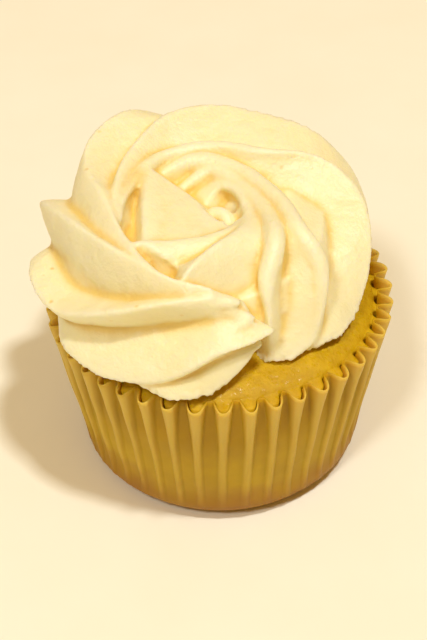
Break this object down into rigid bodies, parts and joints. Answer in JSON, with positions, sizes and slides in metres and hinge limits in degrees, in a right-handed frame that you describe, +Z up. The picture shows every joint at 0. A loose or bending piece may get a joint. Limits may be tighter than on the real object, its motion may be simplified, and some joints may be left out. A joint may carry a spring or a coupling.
{
  "type": "frosted cupcake in a paper case",
  "caption": "Single-serve sponge cake baked in a fluted paper case, topped with a piped rosette of pale frosting with a torn end at the front",
  "frame": {"origin": "middle of the flat foot of the paper case, on the surface it stands on", "axes": "+Z up; the pictured front, with the torn end of the piping, faces -Y; +X to the right of it"},
  "size_m": [0.072, 0.0699, 0.0612],
  "materials": {
    "paper": "greaseproof paper, translucent with butter, browned at the foot",
    "sponge": "moist yellow sponge crumb",
    "frosting": "soft satin buttercream"
  },
  "bodies": {
    "root": {"paper_case": "paper", "cake": "sponge", "frosting": "frosting"}
  },
  "joints": []
}
